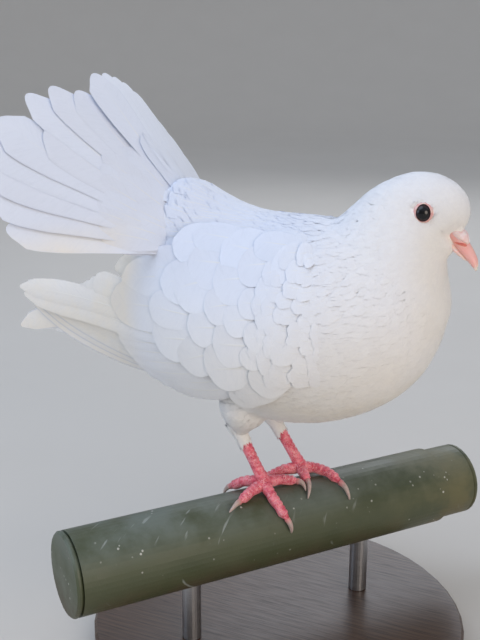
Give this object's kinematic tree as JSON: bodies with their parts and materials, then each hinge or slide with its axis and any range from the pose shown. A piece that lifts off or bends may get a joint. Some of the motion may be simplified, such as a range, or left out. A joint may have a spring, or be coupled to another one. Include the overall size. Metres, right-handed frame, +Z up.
{
  "type": "fantail pigeon",
  "caption": "Life-size still model of a white fantail pigeon with a raised tail fan, gripping a cut length of round rail on a plain round display stand.",
  "frame": {"origin": "middle of the stand's underside, straight below the middle of the rail", "axes": "+Z up, +X the way the bird's body faces, +Y its left side; the body's median plane is y = 0, and the rail runs level at 52.6 degrees from +X towards +Y"},
  "size_m": [0.2507, 0.2132, 0.2966],
  "materials": {
    "plumage": "soft matte white feathers",
    "flight_feathers": "white vanes with a faint sheen",
    "bill_horn": "smooth pink horn, paler at the tip",
    "cere_skin": "powdery whitish pink skin",
    "eye_gloss": "wet, nearly black brown",
    "leg_scales": "crimson scaly skin with pale scale edges",
    "claw_horn": "pale horn",
    "rail_paint": "weathered dark green paint",
    "stand_metal": "brushed rods",
    "stand_base": "dark satin wood"
  },
  "bodies": {
    "root": {"torso": "plumage", "neck": "plumage", "head": "plumage", "eye_left": "eye_gloss", "eye_right": "eye_gloss", "bill_upper": "bill_horn", "bill_lower": "bill_horn", "cere": "cere_skin", "wing_left": "flight_feathers", "wing_right": "flight_feathers", "tail": "flight_feathers", "thigh_left": "plumage", "thigh_right": "plumage", "shank_left": "leg_scales", "shank_right": "leg_scales", "toe_inner_left": "leg_scales", "toe_middle_left": "leg_scales", "toe_outer_left": "leg_scales", "toe_hind_left": "leg_scales", "toe_inner_right": "leg_scales", "toe_middle_right": "leg_scales", "toe_outer_right": "leg_scales", "toe_hind_right": "leg_scales", "claw_inner_left": "claw_horn", "claw_middle_left": "claw_horn", "claw_outer_left": "claw_horn", "claw_hind_left": "claw_horn", "claw_inner_right": "claw_horn", "claw_middle_right": "claw_horn", "claw_outer_right": "claw_horn", "claw_hind_right": "claw_horn", "perch_rail": "rail_paint", "perch_spigot": "rail_paint", "perch_cap_near": "rail_paint", "perch_cap_far": "rail_paint", "stand_rod_near": "stand_metal", "stand_rod_far": "stand_metal", "stand_base": "stand_base"}
  },
  "joints": []
}
